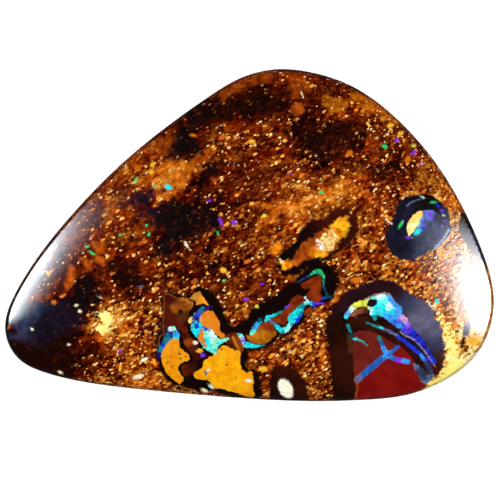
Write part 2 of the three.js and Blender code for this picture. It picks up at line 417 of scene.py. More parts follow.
# The colours of each mineral, and the places in the photo where each is strongest
TINTS = {
    "cloud": {
        INK: [(187, 145), (204, 180), (180, 220), (205, 220), (80, 295)],
        NIGHT: [(60, 318), (50, 322), (140, 200), (40, 330)],
        DENIM: [(22, 326), (30, 312)],
        UMBER: [(240, 105), (126, 275), (325, 140), (387, 172), (68, 345), (40, 360), (60, 352),
                (20, 350)],
    },
    "stain": {
        ORANGE: [(185, 170), (165, 190), (300, 202), (378, 109)],
        RUST: [(38, 297), (240, 87), (298, 88), (146, 228), (161, 147)],
        HONEY: [(335, 104)],
    },
    "rim": {
        PITCH: [(270, 300), (250, 320), (300, 270), (215, 300), (200, 385), (160, 340), (255, 385),
                (330, 285), (290, 255), (320, 265), (382, 319), (398, 334), (408, 342), (418, 350),
                (428, 361)],
        CHOCOLATE: [(287, 370), (390, 326), (350, 235), (345, 375), (340, 350)],
        OXBLOOD: [(350, 220), (436, 370)],
        UMBER: [(335, 390), (330, 340), (345, 330)],
        PLUM: [(380, 287), (350, 300), (394, 290)],
        BARK: [(440, 358)],
        # STEEL and DUSK on the round nut's right side are painted reflection: a grey-blue sheen standing in
        # for the right softbox's haze on the dark rim
        STEEL: [(424, 320), (431, 332), (420, 312), (416, 324)],
        DUSK: [(408, 303), (438, 346), (427, 343)],
    },
    "navy": {
        NIGHT: [(395, 240), (405, 245), (400, 210), (390, 225)],
        INK: [(425, 204), (435, 210)],
        DUSK: [(432, 244), (422, 250), (445, 215), (436, 238), (467, 238), (474, 251), (482, 261)],
        UMBER: [(466, 217), (471, 224)],
    },
    "cell": {
        OXBLOOD: [(168, 310), (168, 322), (172, 300), (186, 350), (184, 336), (188, 324), (198, 358),
                  (230, 346)],
        MAROON: [(174, 318), (178, 322), (186, 330), (186, 372), (192, 348), (230, 338)],
        BARK: [(350, 345), (349, 336), (183, 316)],
        CHOCOLATE: [(190, 376), (196, 364), (352, 321), (360, 319), (370, 322), (365, 326), (390, 336),
                    (415, 355), (350, 362), (192, 348)],
        TAWNY: [(176, 307), (184, 305)],
        SIENNA: [(188, 343), (238, 340)],
        HONEY: [(256, 338), (262, 336), (268, 337)],
        RUSSET: [(285, 315), (297, 300), (268, 325), (277, 320), (312, 290), (307, 310)],
        FAWN: [(354, 312)],
        DENIM: [(430, 228), (424, 234)],
        DUSK: [(420, 239), (436, 234), (438, 220)],
        PERIWINKLE: [(424, 215), (421, 222)],
    },
    "jasper": {
        BLOOD: [(390, 380), (380, 390), (370, 385), (410, 380), (395, 368)],
        BRICK: [(358, 340), (375, 342), (360, 355)],
    },
    "ochre": {
        YELLOW: [(225, 375), (230, 360), (245, 385), (215, 370), (202, 374)],
        MUSTARD: [(170, 350), (170, 370), (185, 356), (250, 390), (204, 300)],
        OLD_GOLD: [(196, 297)],
        TANGERINE: [(210, 318), (216, 326), (204, 338)],
        BUTTER: [(411, 219), (418, 213), (191, 320)],
        LEMON: [(408, 231), (413, 228)],
    },
    "amber": {
        TANGERINE: [(318, 250), (275, 248), (338, 233), (312, 252), (288, 265)],
        COPPER: [(73, 272), (70, 283), (99, 246), (87, 262), (102, 260), (323, 232), (295, 264),
                 (268, 252), (300, 108)],
        OXBLOOD: [(61, 286), (62, 278), (64, 269), (91, 251), (82, 266), (98, 266)],
        RUST: [(295, 112), (305, 250), (300, 248), (310, 243), (313, 239), (296, 257), (306, 258),
               (330, 253)],
        FLAME: [(335, 224), (341, 220), (284, 267), (324, 254)],
        YELLOW: [(343, 226), (346, 232), (318, 254)],
    },
    "sugar": {
        IVORY: [(318, 244)],
        PALE_GOLD: [(323, 239), (328, 244), (332, 238)],
    },
    "gold": {
        # LEMON and IVORY at the right-edge band are partly painted glare of the right softbox on gold sand
        LEMON: [(105, 325), (108, 317), (100, 329), (451, 352), (452, 365), (445, 375), (440, 318),
                (446, 332)],
        IVORY: [(432, 309), (475, 358)],
        OLD_GOLD: [(119, 320), (108, 338)],
    },
    "opal": {
        PALE: [(171.5, 327), (194, 312), (211, 333), (212, 338), (241, 335), (288, 329), (305, 298),
               (349, 309), (380, 295), (371, 310), (388, 306)],
        PALE_GREEN: [(213, 343), (215, 352), (226, 338), (244, 346), (252, 332), (205, 333), (216, 340)],
        AQUA: [(209, 347), (211, 346), (309, 303), (286, 328), (384, 303), (380, 300)],
        CYAN: [(176, 337), (200, 325), (196, 331), (198, 336), (206, 337), (208, 340), (214, 349),
               (222, 340), (239, 334), (255, 345), (250, 343), (253, 329), (258, 322), (266, 317),
               (271, 315), (277, 327), (279, 330), (291, 320), (292, 316), (297, 309), (294, 311),
               (295, 315), (281, 328), (378, 303), (382, 306), (374, 307), (372, 314), (385, 309),
               (390, 312), (343, 316), (378, 327), (357, 340), (193, 328), (248, 345)],
        TEAL: [(166, 338), (160, 347), (202, 308), (262, 344), (277, 312), (284, 331), (299, 313),
               (301, 305), (308, 275), (316, 272), (323, 282), (374, 318), (366, 323), (374, 326),
               (378, 338), (347, 328), (363, 344)],
        DEEP_TEAL: [(282, 309), (326, 292), (329, 297), (323, 289), (351, 336), (299, 281), (260, 319)],
        SKY: [(178, 335), (247, 341), (252, 326), (256, 323), (345, 313), (389, 298), (393, 304),
              (392, 317), (386, 314), (383, 348), (399, 326), (420, 357), (404, 361), (384, 352),
              (387, 354), (397, 309)],
        AZURE: [(378, 361), (373, 365), (364, 374), (381, 344), (394, 349), (390, 356), (381, 358),
                (324, 297)],
        BLUE: [(165, 342), (162, 345), (197, 313), (196, 326), (205, 328), (297, 320), (300, 317),
               (313, 304), (321, 299), (396, 321), (401, 327), (409, 331), (412, 333), (417, 340),
               (420, 342), (426, 350), (431, 357), (400, 339), (407, 345), (414, 351), (410, 336)],
        INDIGO: [(166, 332), (172, 333), (159, 355), (208, 308), (197, 318), (293, 324), (305, 277),
                 (422, 346), (408, 334), (428, 354), (415, 337)],
        LILAC: [(405, 325)],
        VIOLET: [(244.5, 339), (287, 305), (319, 303), (398, 359.5), (407, 328)],
        PINK: [(402, 318), (404, 321)],
        GREEN: [(177, 326), (253, 335), (314, 271), (321, 273)],
        LIME: [(355, 305), (360, 303), (364, 305)],
        SLATE: [(192, 324), (273, 322), (385, 330), (391, 334), (414, 366), (421, 381), (430, 378),
                (359, 377)],
        DUSK: [(424, 366), (418, 373), (423, 375), (427, 371)],
    },
}


class Bed(NamedTuple):
    """A bed of ironstone: its middle in photo pixels, how light it is and how much sand it holds."""

    x: float
    y: float
    tone: float
    sand: float


BEDS = [
    Bed(250, 80, 0.28, 0.1),
    Bed(240, 106, 0.18, 0.08),
    Bed(200, 115, 0.13, 0.03),
    Bed(290, 90, 0.3, 0.12),
    Bed(306, 108, 0.14, 0.12),
    Bed(335, 105, 0.28, 0.35),
    Bed(375, 115, 0.34, 0.35),
    Bed(175, 140, 0.22, 0.1),
    Bed(187, 146, 0.1, 0.08),
    Bed(147, 170, 0.52, 0.6),
    Bed(178, 172, 0.52, 0.4),
    Bed(204, 180, 0.1, 0.12),
    Bed(250, 140, 0.36, 0.4),
    Bed(215, 150, 0.4, 0.2),
    Bed(310, 140, 0.25, 0.5),
    Bed(350, 140, 0.25, 0.25),
    Bed(320, 170, 0.2, 0.45),
    Bed(390, 148, 0.29, 0.4),
    Bed(400, 175, 0.33, 0.7),
    Bed(438, 180, 0.52, 0.6),
    Bed(452, 206, 0.62, 0.6),
    Bed(452, 248, 0.62, 0.8),
    Bed(260, 182, 0.28, 0.35),
    Bed(225, 180, 0.25, 0.25),
    Bed(298, 197, 0.56, 0.6),
    Bed(330, 193, 0.54, 0.5),
    Bed(268, 222, 0.45, 0.6),
    Bed(250, 215, 0.29, 0.45),
    Bed(370, 225, 0.43, 0.75),
    Bed(365, 260, 0.41, 0.85),
    Bed(405, 275, 0.46, 0.9),
    Bed(440, 270, 0.52, 1.0),
    Bed(442, 300, 0.55, 0.9),
    # lighter partly as painted glare of the right softbox
    Bed(455, 345, 0.85, 0.9),
    Bed(105, 322, 0.7, 1.0),
    Bed(122, 330, 0.52, 1.0),
    Bed(472, 290, 0.65, 0.9),
    Bed(260, 268, 0.33, 0.6),
    Bed(215, 260, 0.27, 0.5),
    Bed(185, 270, 0.26, 0.5),
    Bed(240, 300, 0.36, 0.55),
    Bed(310, 345, 0.42, 0.9),
    Bed(318, 378, 0.38, 0.9),
    Bed(265, 362, 0.38, 0.6),
    Bed(140, 345, 0.4, 1.0),
    Bed(125, 375, 0.38, 0.9),
    Bed(138, 383, 0.6, 0.8),
    Bed(85, 350, 0.17, 0.15),
    Bed(45, 345, 0.06, 0.02),
    Bed(85, 305, 0.08, 0.03),
    Bed(90, 228, 0.3, 0.15),
    Bed(112, 198, 0.38, 0.25),
    Bed(180, 225, 0.12, 0.15),
    Bed(130, 275, 0.2, 0.15),
    Bed(112, 248, 0.36, 0.3),
    Bed(58, 282, 0.3, 0.2),
    Bed(50, 315, 0.04, 0.02),
]

# The light on a white card laid where the stone is, which the colours are given for
STUDIO_GAIN = 1.25


def linear(colour):
    """A colour seen in the photo as the stone's own colour, in linear values."""
    values = np.array(colour) / 255
    values = np.where(values <= 0.04045, values / 12.92, ((values + 0.055) / 1.055) ** 2.4)
    return (*(values / STUDIO_GAIN), 1.0)


# Distances to the outlines

FAR = 12.0  # pixels past which a distance isn't followed
CURVE_STEPS = 4  # points drawn on the curve between two points of an outline


def curved(points, closed):
    """A smooth curve through the points, as closely spaced points."""
    points = np.array(points, float)
    if closed:
        padded = np.concatenate([points[-1:], points, points[:2]])
    else:
        padded = np.concatenate([points[:1], points, points[-1:]])
    drawn = []
    for before, start, end, after in zip(padded, padded[1:], padded[2:], padded[3:]):
        for t in np.arange(CURVE_STEPS) / CURVE_STEPS:
            leaving = (end - before) / 2
            arriving = (after - start) / 2
            drawn.append(
                (2 * t**3 - 3 * t**2 + 1) * start
                + (t**3 - 2 * t**2 + t) * leaving
                + (3 * t**2 - 2 * t**3) * end
                + (t**3 - t**2) * arriving
            )
    return np.array(drawn if closed else drawn + [points[-1]])


def near(at, curve):
    """Which places lie close enough to a curve for its distance to matter."""
    low = curve.min(axis=0) - FAR
    high = curve.max(axis=0) + FAR
    return np.flatnonzero(((at > low) & (at < high)).all(axis=1))


def along(at, start, end):
    """Each place's distance from a straight piece, and how far along it the nearest point is, 0 to 1."""
    line = end - start
    share = np.clip((at - start) @ line / max(line @ line, 1e-9), 0, 1)
    return np.hypot(*(at - start - share[:, None] * line).T), share


def patch_distance(at, outline):
    """Pixels from the edge of a closed outline, negative inside it."""
    curve = curved(outline, closed=True)
    result = np.full(len(at), FAR)
    close = near(at, curve)
    places = at[close]
    distance = np.full(len(close), FAR)
    inside = np.zeros(len(close), bool)
    for start, end in zip(curve, np.roll(curve, -1, axis=0)):
        distance = np.minimum(distance, along(places, start, end)[0])
        crosses = (start[1] > places[:, 1]) != (end[1] > places[:, 1])
        if start[1] != end[1]:
            crossing = start[0] + (places[:, 1] - start[1]) * (end[0] - start[0]) / (end[1] - start[1])
            inside ^= crosses & (places[:, 0] < crossing)
    result[close] = np.where(inside, -distance, distance)
    return result


def vein_distance(at, vein):
    """Pixels from the edge of a vein, negative inside it."""
    points, width_at_start, width_at_end = vein
    curve = curved(points, closed=False)
    result = np.full(len(at), FAR)
    close = near(at, curve)
    distance = np.full(len(close), FAR)
    pieces = len(curve) - 1
    for index in range(pieces):
        gap, share = along(at[close], curve[index], curve[index + 1])
        width = width_at_start + (width_at_end - width_at_start) * (index + share) / pieces
        distance = np.minimum(distance, gap - width / 2)
    result[close] = distance
    return result


def spot_distance(at, spot):
    """Pixels from the edge of an oval spot, negative inside it."""
    turn = radians(spot.turn)
    across = at - (spot.x, spot.y)
    lengthways = (across[:, 0] * cos(turn) - across[:, 1] * sin(turn)) / (spot.length / 2)
    widthways = (across[:, 0] * sin(turn) + across[:, 1] * cos(turn)) / (spot.width / 2)
    return np.minimum((np.hypot(lengthways, widthways) - 1) * spot.width / 2, FAR)


def nearest(at, distance, shapes):
    """The least of a kind of distance over all the shapes."""
    result = np.full(len(at), FAR)
    for shape in shapes:
        result = np.minimum(result, distance(at, shape))
    return result


def opal_distance(at):
    """Pixels from the edge of the opal in seams and veins."""
    seams = nearest(at, patch_distance, OPAL)
    seams = np.maximum(seams, -nearest(at, patch_distance, OPAL_HOLES))
    return np.minimum(seams, nearest(at, vein_distance, OPAL_VEINS))


def fleck_shapes():
    """Every fleck and hairline: its colour, the kind of distance to it, and its shape."""
    for colour, spots in FLECKS.items():
        for spot in spots:
            yield colour, spot_distance, spot
    for colour, veins in HAIRLINES.items():
        for vein in veins:
            yield colour, vein_distance, vein


def fleck_distance(at):
    """Pixels from the edge of the flecks and hairlines."""
    result = np.full(len(at), FAR)
    for _, distance, shape in fleck_shapes():
        result = np.minimum(result, distance(at, shape))
    return result


# The minerals that lie in patches
PATCHES = {
    "cloud": CLOUDS,
    "stain": STAINS,
    "rim": RIMS,
    "navy": NAVY,
    "cell": CELLS,
    "jasper": JASPER,
    "ochre": OCHRE,
    "amber": AMBER,
    "sugar": SUGAR,
    "gold": GOLD_SAND,
}

# The minerals whose crisp edges need a finer mesh
CRISP = ("rim", "navy", "cell", "jasper", "ochre", "amber", "opal", "fleck")


def mineral_distances(at):
    """Pixels from the edge of each mineral at photo places, negative inside it."""
    distances = {name: nearest(at, patch_distance, outlines) for name, outlines in PATCHES.items()}
    distances["opal"] = opal_distance(at)
    distances["fleck"] = fleck_distance(at)
    return distances


def blended(at, known, reach, falloff):
    """Values known at a few places, blended at others by nearness, and evenly within the reach."""
    total = 0.0
    weights = 0.0
    for place, values in known:
        weight = 1 / (((at - place) ** 2).sum(axis=1) + reach**2) ** falloff
        total = total + weight[:, None] * np.array(values)
        weights = weights + weight
    return total / weights[:, None]


SOFT_REACH = {"cloud": 8.0, "rim": 11.0, "navy": 6.0}  # pixels within which these minerals' colours blend
SHARP_REACH = 1.0  # the same for the other minerals
TINT_FALLOFF = 3  # how soon a mineral's colour gives way to the next
BED_REACH = 10.0  # pixels within which a bed is even
BED_FALLOFF = 2  # how soon a bed gives way to the next


def tints(at, colours, reach):
    """A mineral's colour at photo places, from the places where each of its colours is strongest."""
    known = [(place, linear(colour)) for colour, places in colours.items() for place in places]
    return blended(at, known, reach, TINT_FALLOFF)


def ground_values(at):
    """How light the ironstone is at photo places, and how much sand it holds."""
    known = [((bed.x, bed.y), (bed.tone, bed.sand)) for bed in BEDS]
    return blended(at, known, BED_REACH, BED_FALLOFF).T


FACET = 2.6  # pixels across a facet of opal
FACET_SPREAD = 4.0  # pixels around a facet's middle within which it takes its colour
FACET_ROWS = 256  # facets each way before their chances repeat
CHANCES = np.random.default_rng(5).random((FACET_ROWS, FACET_ROWS, 4))


def facet_places(at):
    """For each place, the place that gives its facet of opal its colour."""
    cell = np.floor(at / FACET).astype(int)
    nearest_gap = np.full(len(at), np.inf)
    chosen = np.zeros(at.shape)
    for step in np.ndindex(3, 3):
        index = cell + step - 1
        chances = CHANCES[index[:, 0] % FACET_ROWS, index[:, 1] % FACET_ROWS]
        middle = (index + chances[:, :2]) * FACET
        gap = ((at - middle) ** 2).sum(axis=1)
        closer = gap < nearest_gap
        chosen[closer] = (middle + (chances[:, 2:] - 0.5) * FACET_SPREAD)[closer]
        nearest_gap = np.minimum(nearest_gap, gap)
    return chosen


def fleck_tints(at):
    """The colour of the nearest fleck or hairline at photo places."""
    colours = np.zeros((len(at), 4))
    nearest_gap = np.full(len(at), np.inf)
    for colour, distance, shape in fleck_shapes():
        gap = distance(at, shape)
        closer = gap < nearest_gap
        colours[closer] = linear(colour)
        nearest_gap = np.minimum(nearest_gap, gap)
    return colours


# The stone's mesh

MESH_STEP = 0.2 * MM  # size of the faces away from the edges of minerals
EDGE_ZONES = (1.4, 0.6)  # pixels from an edge within which the faces are split once, and once more
MERGE_GAP = 0.001 * MM  # corners of loose triangles closer than this are one
FLAT_ANGLE = radians(0.2)  # triangles that meet at less than this make one face
SHARP_ANGLE = radians(25)  # edges sharper than this stay sharp
EDGE_CREASE = 0.8  # how sharp the smooth copy keeps the edges of the back and the wall
BACK_NORMAL = -0.999  # faces that look straight down belong to the flat back
BACK_SHARE = 0.05  # share of the back's faces that are kept
UNDERSIDE_NORMAL = -0.3  # faces that look lower than this are lapped, not polished


def photo_places(points):
    """The photo pixels over points on the stone."""
    return PHOTO_CENTRE + points[:, :2] / PIXEL * (1, -1)


def activate(piece):
    """Selects one piece alone."""
    bpy.ops.object.select_all(action="DESELECT")
    piece.select_set(True)
    bpy.context.view_layer.objects.active = piece


def edit(piece):
    """Starts edit mode on one piece alone, with nothing selected."""
    activate(piece)
    bpy.ops.object.mode_set(mode="EDIT")
    bpy.ops.mesh.select_mode(type="FACE")
    bpy.ops.mesh.select_all(action="DESELECT")


def end_edit():
    bpy.ops.object.mode_set(mode="OBJECT")


def edit_faces(piece, chosen):
    """Starts edit mode on one piece alone, with the chosen faces selected."""
    edit(piece)
    end_edit()
    piece.data.polygons.foreach_set("select", chosen)
    bpy.ops.object.mode_set(mode="EDIT")


def face_values(piece, name):
    """A vector of every face, such as its centre or its normal."""
    values = np.empty(len(piece.data.polygons) * 3)
    piece.data.polygons.foreach_get(name, values)
    return values.reshape(-1, 3)


def vertex_points(piece):
    points = np.empty(len(piece.data.vertices) * 3)
    piece.data.vertices.foreach_get("co", points)
    return points.reshape(-1, 3)


def apply_modifier(piece, kind, **settings):
    """Adds a modifier to the active piece and applies it."""
    modifier = piece.modifiers.new(kind.lower(), kind)
    for name, value in settings.items():
        setattr(modifier, name, value)
    bpy.ops.object.modifier_apply(modifier=modifier.name)


def smooth_form(node):
    """A smooth copy of a CAD node, with its loose triangles merged and its sharp edges slightly rounded."""
    form = bpy.data.objects.new("form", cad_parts[node].data.copy())
    bpy.context.scene.collection.objects.link(form)
    form.data.materials.clear()
    edit(form)
    bpy.ops.mesh.select_all(action="SELECT")
    bpy.ops.mesh.remove_doubles(threshold=MERGE_GAP)
    bpy.ops.mesh.dissolve_limited(angle_limit=FLAT_ANGLE)
    bpy.ops.mesh.tris_convert_to_quads()
    bpy.ops.mesh.select_all(action="DESELECT")
    bpy.ops.mesh.select_mode(type="EDGE")
    bpy.ops.mesh.edges_select_sharp(sharpness=SHARP_ANGLE)
    bpy.ops.transform.edge_crease(value=EDGE_CREASE)
    end_edit()
    apply_modifier(form, "SUBSURF", levels=2)
    return form


def split_near_edges(stone, zone):
    """Splits the faces of the dome that lie in opal or close to the edge of a mineral."""
    looks_up = face_values(stone, "normal")[:, 2] > 0
    distances = mineral_distances(photo_places(face_values(stone, "center")))
    gap = np.min([np.abs(distances[name]) for name in CRISP], axis=0)
    edit_faces(stone, looks_up & ((gap < zone) | (distances["opal"] < zone)))
    bpy.ops.mesh.subdivide(number_cuts=1)
    end_edit()


def thin_out_back(stone):
    """Leaves the flat back with fewer faces."""
    edit_faces(stone, face_values(stone, "normal")[:, 2] < BACK_NORMAL)
    bpy.ops.mesh.decimate(ratio=BACK_SHARE)
    end_edit()


def carry_minerals(stone):
    """Writes the minerals' distances and colours and the values of the ground to the mesh."""
    at = photo_places(vertex_points(stone))
    values = {name: distance * PIXEL / MM for name, distance in mineral_distances(at).items()}
    values["tone"], values["sand"] = ground_values(at)
    colours = {name: tints(at, places, SOFT_REACH.get(name, SHARP_REACH)) for name, places in TINTS.items()}
    colours["opal"] = tints(facet_places(at), TINTS["opal"], SHARP_REACH)
    colours["fleck"] = fleck_tints(at)
    attributes = stone.data.attributes
    for name, value in values.items():
        attributes.new(name, "FLOAT", "POINT").data.foreach_set("value", value)
    for name, colour in colours.items():
        attributes.new(name + "_colour", "FLOAT_COLOR", "POINT").data.foreach_set("color", colour.ravel())


def polished_stone():
    """The stone's fine mesh, pressed onto a smooth copy of the CAD solid."""
    form = smooth_form(STONE)
    stone = form.copy()
    stone.data = form.data.copy()
    stone.name = "boulder_opal_polished"
    bpy.context.scene.collection.objects.link(stone)
    activate(stone)
    stone.data.remesh_voxel_size = MESH_STEP
    bpy.ops.object.voxel_remesh()
    for zone in EDGE_ZONES:
        split_near_edges(stone, zone)
    apply_modifier(stone, "SMOOTH", factor=0.5, iterations=3)
    apply_modifier(stone, "SHRINKWRAP", target=form, wrap_method="NEAREST_SURFACEPOINT")
    thin_out_back(stone)
    bpy.data.objects.remove(form)
    edit(stone)
    bpy.ops.mesh.select_all(action="SELECT")
    bpy.ops.mesh.faces_shade_smooth()
    end_edit()
    carry_minerals(stone)
    return stone


def cover(stone, polished, lapped):
    """Gives the stone its two materials: the polished face and wall, and the lapped underside."""
    stone.data.materials.append(polished)
    stone.data.materials.append(lapped)
    under = face_values(stone, "normal")[:, 2] < UNDERSIDE_NORMAL
    stone.data.polygons.foreach_set("material_index", under.astype(np.int32))


# Materials


def add(tree, kind, inputs=None, **settings):
    """Adds a node, sets it up, and links or fills its inputs."""
    made = tree.nodes.new(kind)
    for name, value in settings.items():
        setattr(made, name, value)
    for name, value in (inputs or {}).items():
        if isinstance(value, bpy.types.NodeSocket):
            tree.links.new(value, made.inputs[name])
        else:
            made.inputs[name].default_value = value
    return made


def sums(tree, operation, first, second=0.0, third=0.0):
    """The result of a Math node."""
    return add(tree, "ShaderNodeMath", {0: first, 1: second, 2: third}, operation=operation).outputs[0]


def vector_sums(tree, operation, first, second, third=(0, 0, 0)):
    """The result of a Vector Math node."""
    inputs = {0: first, 1: second, 2: third}
    return add(tree, "ShaderNodeVectorMath", inputs, operation=operation).outputs[0]


def scaled(tree, vector, factor):
    """A vector times a factor."""
    return add(tree, "ShaderNodeVectorMath", {0: vector, "Scale": factor}, operation="SCALE").outputs[0]


def around_zero(tree, value):
    """Noise or a chance from 0 to 1, moved to lie around zero."""
    return sums(tree, "SUBTRACT", value, 0.5)


def blend_colours(tree, share, below, above, mode="MIX"):
    """One colour laid over another by a share."""
    inputs = {0: share, 6: below, 7: above}
    return add(tree, "ShaderNodeMix", inputs, data_type="RGBA", blend_type=mode).outputs[2]


def blend_values(tree, share, below, above):
    """One value that goes over to another by a share."""
    return add(tree, "ShaderNodeMix", {0: share, 2: below, 3: above}).outputs[0]


def eased(tree, value, low, high, to_low=0.0, to_high=1.0):
    """A value that goes smoothly between two others as the given value crosses a range."""
    inputs = {"Value": value, "From Min": low, "From Max": high, "To Min": to_low, "To Max": to_high}
    return add(tree, "ShaderNodeMapRange", inputs, interpolation_type="SMOOTHSTEP").outputs[0]


def ramp(tree, value, stops):
    """A colour that runs through the stops, each a place from 0 to 1 and a photo colour."""
    made = add(tree, "ShaderNodeValToRGB", {"Fac": value})
    elements = made.color_ramp.elements
    while len(elements) < len(stops):
        elements.new(1.0)
    for element, (place, colour) in zip(elements, stops):
        element.position = place
        element.color = linear(colour)
    return made.outputs["Color"]


def attribute(tree, name, output="Fac"):
    return add(tree, "ShaderNodeAttribute", attribute_name=name).outputs[output]


def millimetres(tree):
    """Object coordinates in millimetres."""
    return scaled(tree, add(tree, "ShaderNodeTexCoord").outputs["Object"], 1 / MM)


def noise(tree, place, size, detail=2.0, output="Fac"):
    """Noise whose lumps have a size in millimetres."""
    inputs = {"Vector": place, "Scale": sums(tree, "DIVIDE", 1.0, size), "Detail": detail}
    return add(tree, "ShaderNodeTexNoise", inputs).outputs[output]


def turned(tree, place, turn, stretch):
    """A place for a pattern that is turned by some degrees and stretched."""
    inputs = {"Vector": place, "Rotation": (0, 0, radians(turn)), "Scale": stretch}
    return add(tree, "ShaderNodeMapping", inputs, vector_type="TEXTURE").outputs[0]


def group_node(tree, group, inputs):
    """A node group's outputs, with its inputs linked or filled."""
    return add(tree, "ShaderNodeGroup", inputs, node_tree=group).outputs


def new_group(name, inputs, outputs):
    """A node group with named sockets, and its input and output nodes."""
    group = bpy.data.node_groups.new(name, "ShaderNodeTree")
    for socket, kind in inputs.items():
        group.interface.new_socket(socket, in_out="INPUT", socket_type="NodeSocket" + kind)
    for socket, kind in outputs.items():
        group.interface.new_socket(socket, in_out="OUTPUT", socket_type="NodeSocket" + kind)
    return group, group.nodes.new("NodeGroupInput").outputs, group.nodes.new("NodeGroupOutput").inputs


NOISE_RANGE = (0.3, 0.7)  # most noise lies between these
EDGE_SWING = 4.0  # brings the usual swing of noise, a quarter each way, to one
CRYSTAL_WANDER = 1.6  # size of the lumps that bend crystals, in crystals


def ragged_edge_group():
    """A mask of a mineral from the distance to its edge, with a ragged, soft border."""
    group, given, result = new_group(
        "ragged edge",
        {"Place": "Vector", "Distance": "Float", "Ragged": "Float", "Lump": "Float", "Soft": "Float"},
        {"Mask": "Float"},
    )
    wander = around_zero(group, noise(group, given["Place"], given["Lump"], detail=3.0))
    wander = sums(group, "MULTIPLY", wander, given["Ragged"])
    distance = sums(group, "MULTIPLY_ADD", wander, EDGE_SWING, given["Distance"])
    mask = eased(group, distance, given["Soft"], sums(group, "MULTIPLY", given["Soft"], -1.0))
    group.links.new(mask, result["Mask"])
    return group


def crystals_group():
    """Packed crystals: three chances for each from 0 to 1, and how far from its middle a place is."""
    group, given, result = new_group(
        "crystals",
        {"Place": "Vector", "Size": "Float"},
        {"Chance": "Float", "Other Chance": "Float", "Third Chance": "Float", "Distance": "Float"},
    )
    lump = sums(group, "MULTIPLY", given["Size"], CRYSTAL_WANDER)
    wander = noise(group, given["Place"], lump, output="Color")
    wander = vector_sums(group, "SUBTRACT", wander, (0.5, 0.5, 0.5))
    place = vector_sums(group, "ADD", given["Place"], scaled(group, wander, given["Size"]))
    scale = sums(group, "DIVIDE", 1.0, given["Size"])
    cells = add(group, "ShaderNodeTexVoronoi", {"Vector": place, "Scale": scale}).outputs
    chances = add(group, "ShaderNodeSeparateColor", {"Color": cells["Color"]}).outputs
    for chance, name in zip(chances, ("Chance", "Other Chance", "Third Chance")):
        group.links.new(chance, result[name])
    group.links.new(cells["Distance"], result["Distance"])
    return group


# The ironstone's colours from dark to light
IRONSTONE = (
    (0.0, (14, 0, 0)),
    (0.1, (40, 3, 0)),
    (0.2, (67, 11, 0)),
    (0.32, (95, 26, 0)),
    (0.42, (124, 47, 3)),
    (0.53, (157, 73, 10)),
    (0.64, (196, 109, 26)),
    (0.75, (231, 150, 52)),
    (0.87, (255, 198, 98)),
    (1.0, (255, 245, 190)),
)

# The colours of clear quartz grains from dark to light
QUARTZ = (
    (0.2, (46, 28, 16)),
    (0.5, (134, 98, 52)),
    (0.8, (224, 192, 122)),
    (1.0, (255, 246, 205)),
)

# The tints between which the ironstone goes from place to place
REDDER = (1.08, 0.72, 0.3, 1.0)
YELLOWER = (0.95, 1.22, 1.4, 1.0)
TINT_SIZE = 1.6  # millimetres across their patches
TINT_RANGE = (0.35, 0.65)  # the noise between which one goes over to the other

# How the sand is bedded
BEDDING_TURN = 30
BEDDING_STRETCH = (1.35, 0.85, 1.0)
SAND_SHADE = -0.06  # added to the tone of the ground where it holds the most sand


class Unevenness(NamedTuple):
    """Lumps or packed grit of one size in millimetres."""

    size: float
    least: float  # strength in clean ironstone
    by_sand: float  # strength that sand adds


LUMPS = (Unevenness(1.3, 0.7, 0.0), Unevenness(0.5, 0.4, 0.5))
GRIT = (Unevenness(0.34, 0.12, 0.25), Unevenness(0.19, 0.14, 0.3))


class Grain(NamedTuple):
    """Sand of one size in millimetres."""

    size: float
    least: float  # share of its grains that show in clean ironstone
    by_sand: float  # share that sand adds
    dimmest: float  # how light its darkest grains are
    brightest: float
    clear: float  # share of its grains that are clear quartz, not stained


GRAINS = (
    Grain(0.4, 0.0, 0.16, 0.4, 0.85, 0.0),
    Grain(0.27, 0.02, 0.22, 0.42, 1.0, 0.1),
    Grain(0.17, 0.08, 0.16, 0.42, 1.05, 0.4),
)
GRAIN_RADIUS = 0.4  # radius of the dimmest grains, as a share of their sand's size
GRAIN_GROWTH = 0.4  # how much larger the radius of the lightest grains is
GRAIN_CORE = 0.7  # share of a grain's radius inside its soft edge
GRAIN_COVER = 0.85  # how far a grain hides what lies below it
GRAIN_RARITY = 1.5  # power that makes light grains rarer than dim ones
DARK_GROUND = (-0.12, 0.2)  # tones of the ground between which its grains go from dim to full light
DIM_LIGHT = 0.35  # how light grains are in the darkest ground

POLISH = 0.06  # roughness of clean ironstone
GRAIN_ROUGH = 0.03  # how much rougher each layer of grains is
RELIEF_LUMP = 0.4  # millimetres across the lumps that polishing leaves in sandy ironstone
RELIEF = 0.02 * MM  # their height


def with_sand(group, sand, kind):
    """A strength or a share that grows with the sand in the ironstone."""
    return sums(group, "MULTIPLY_ADD", sand, kind.by_sand, kind.least)


def uneven(group, value, pattern, sand, kind):
    """A value made lighter and darker by a pattern from 0 to 1."""
    return sums(group, "MULTIPLY_ADD", around_zero(group, pattern), with_sand(group, sand, kind), value)


